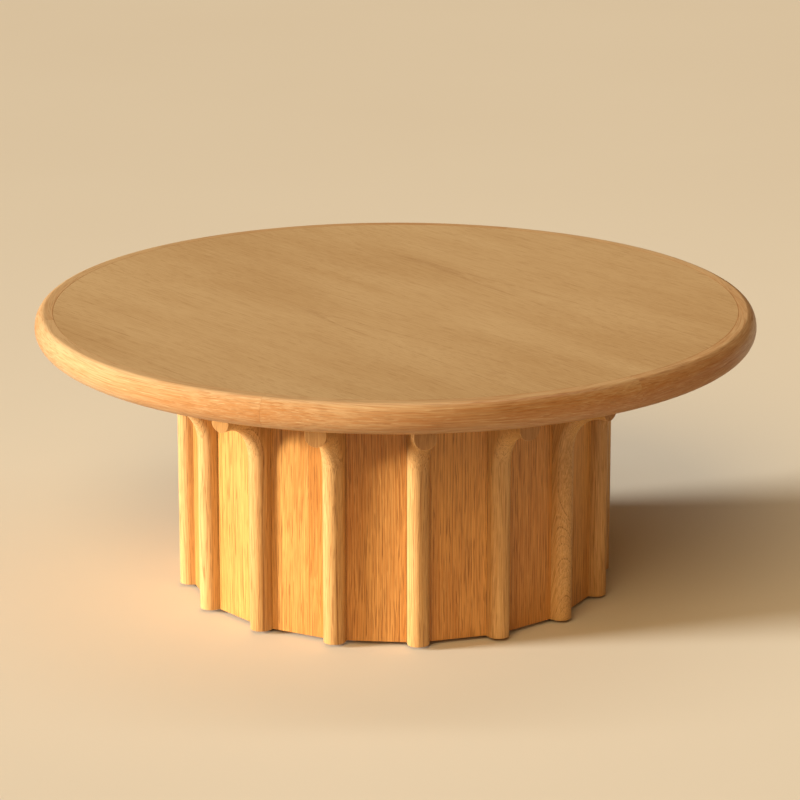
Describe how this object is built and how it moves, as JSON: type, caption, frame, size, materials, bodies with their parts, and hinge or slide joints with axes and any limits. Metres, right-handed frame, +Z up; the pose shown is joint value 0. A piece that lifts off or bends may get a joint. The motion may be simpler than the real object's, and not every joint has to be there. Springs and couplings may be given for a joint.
{
  "type": "coffee table",
  "caption": "Round oak coffee table: a veneered disc top with a rounded solid edge on a drum of upright ribs that sweep out into short arms, with flat boards between.",
  "frame": {"origin": "on the floor, under the middle of the table", "axes": "+Z up along the axis of the round top and the drum; one rib faces -Y"},
  "size_m": [1, 1, 0.4],
  "materials": {
    "oak_veneer": "satin clear lacquer",
    "oak_lipping": "satin clear lacquer",
    "oak_rib": "satin clear lacquer",
    "oak_board": "satin clear lacquer",
    "plywood": "bare, sanded",
    "zinc_steel": "zinc plated",
    "nylon": "matt"
  },
  "bodies": {
    "root": {"top_panel": "oak_veneer", "edge_lipping_1": "oak_lipping", "edge_lipping_2": "oak_lipping", "edge_lipping_3": "oak_lipping", "edge_lipping_4": "oak_lipping", "edge_lipping_5": "oak_lipping", "edge_lipping_6": "oak_lipping", "rib_01": "oak_rib", "rib_02": "oak_rib", "rib_03": "oak_rib", "rib_04": "oak_rib", "rib_05": "oak_rib", "rib_06": "oak_rib", "rib_07": "oak_rib", "rib_08": "oak_rib", "rib_09": "oak_rib", "rib_10": "oak_rib", "rib_11": "oak_rib", "rib_12": "oak_rib", "rib_13": "oak_rib", "rib_14": "oak_rib", "rib_15": "oak_rib", "rib_16": "oak_rib", "drum_panel_01": "oak_board", "drum_panel_02": "oak_board", "drum_panel_03": "oak_board", "drum_panel_04": "oak_board", "drum_panel_05": "oak_board", "drum_panel_06": "oak_board", "drum_panel_07": "oak_board", "drum_panel_08": "oak_board", "drum_panel_09": "oak_board", "drum_panel_10": "oak_board", "drum_panel_11": "oak_board", "drum_panel_12": "oak_board", "drum_panel_13": "oak_board", "drum_panel_14": "oak_board", "drum_panel_15": "oak_board", "drum_panel_16": "oak_board", "upper_former": "plywood", "lower_former": "plywood", "top_screw_1": "zinc_steel", "top_screw_2": "zinc_steel", "top_screw_3": "zinc_steel", "top_screw_4": "zinc_steel", "top_screw_5": "zinc_steel", "top_screw_6": "zinc_steel", "top_screw_7": "zinc_steel", "top_screw_8": "zinc_steel", "glide_1": "nylon", "glide_2": "nylon", "glide_3": "nylon", "glide_4": "nylon", "glide_5": "nylon", "glide_6": "nylon", "glide_7": "nylon", "glide_8": "nylon"}
  },
  "joints": []
}
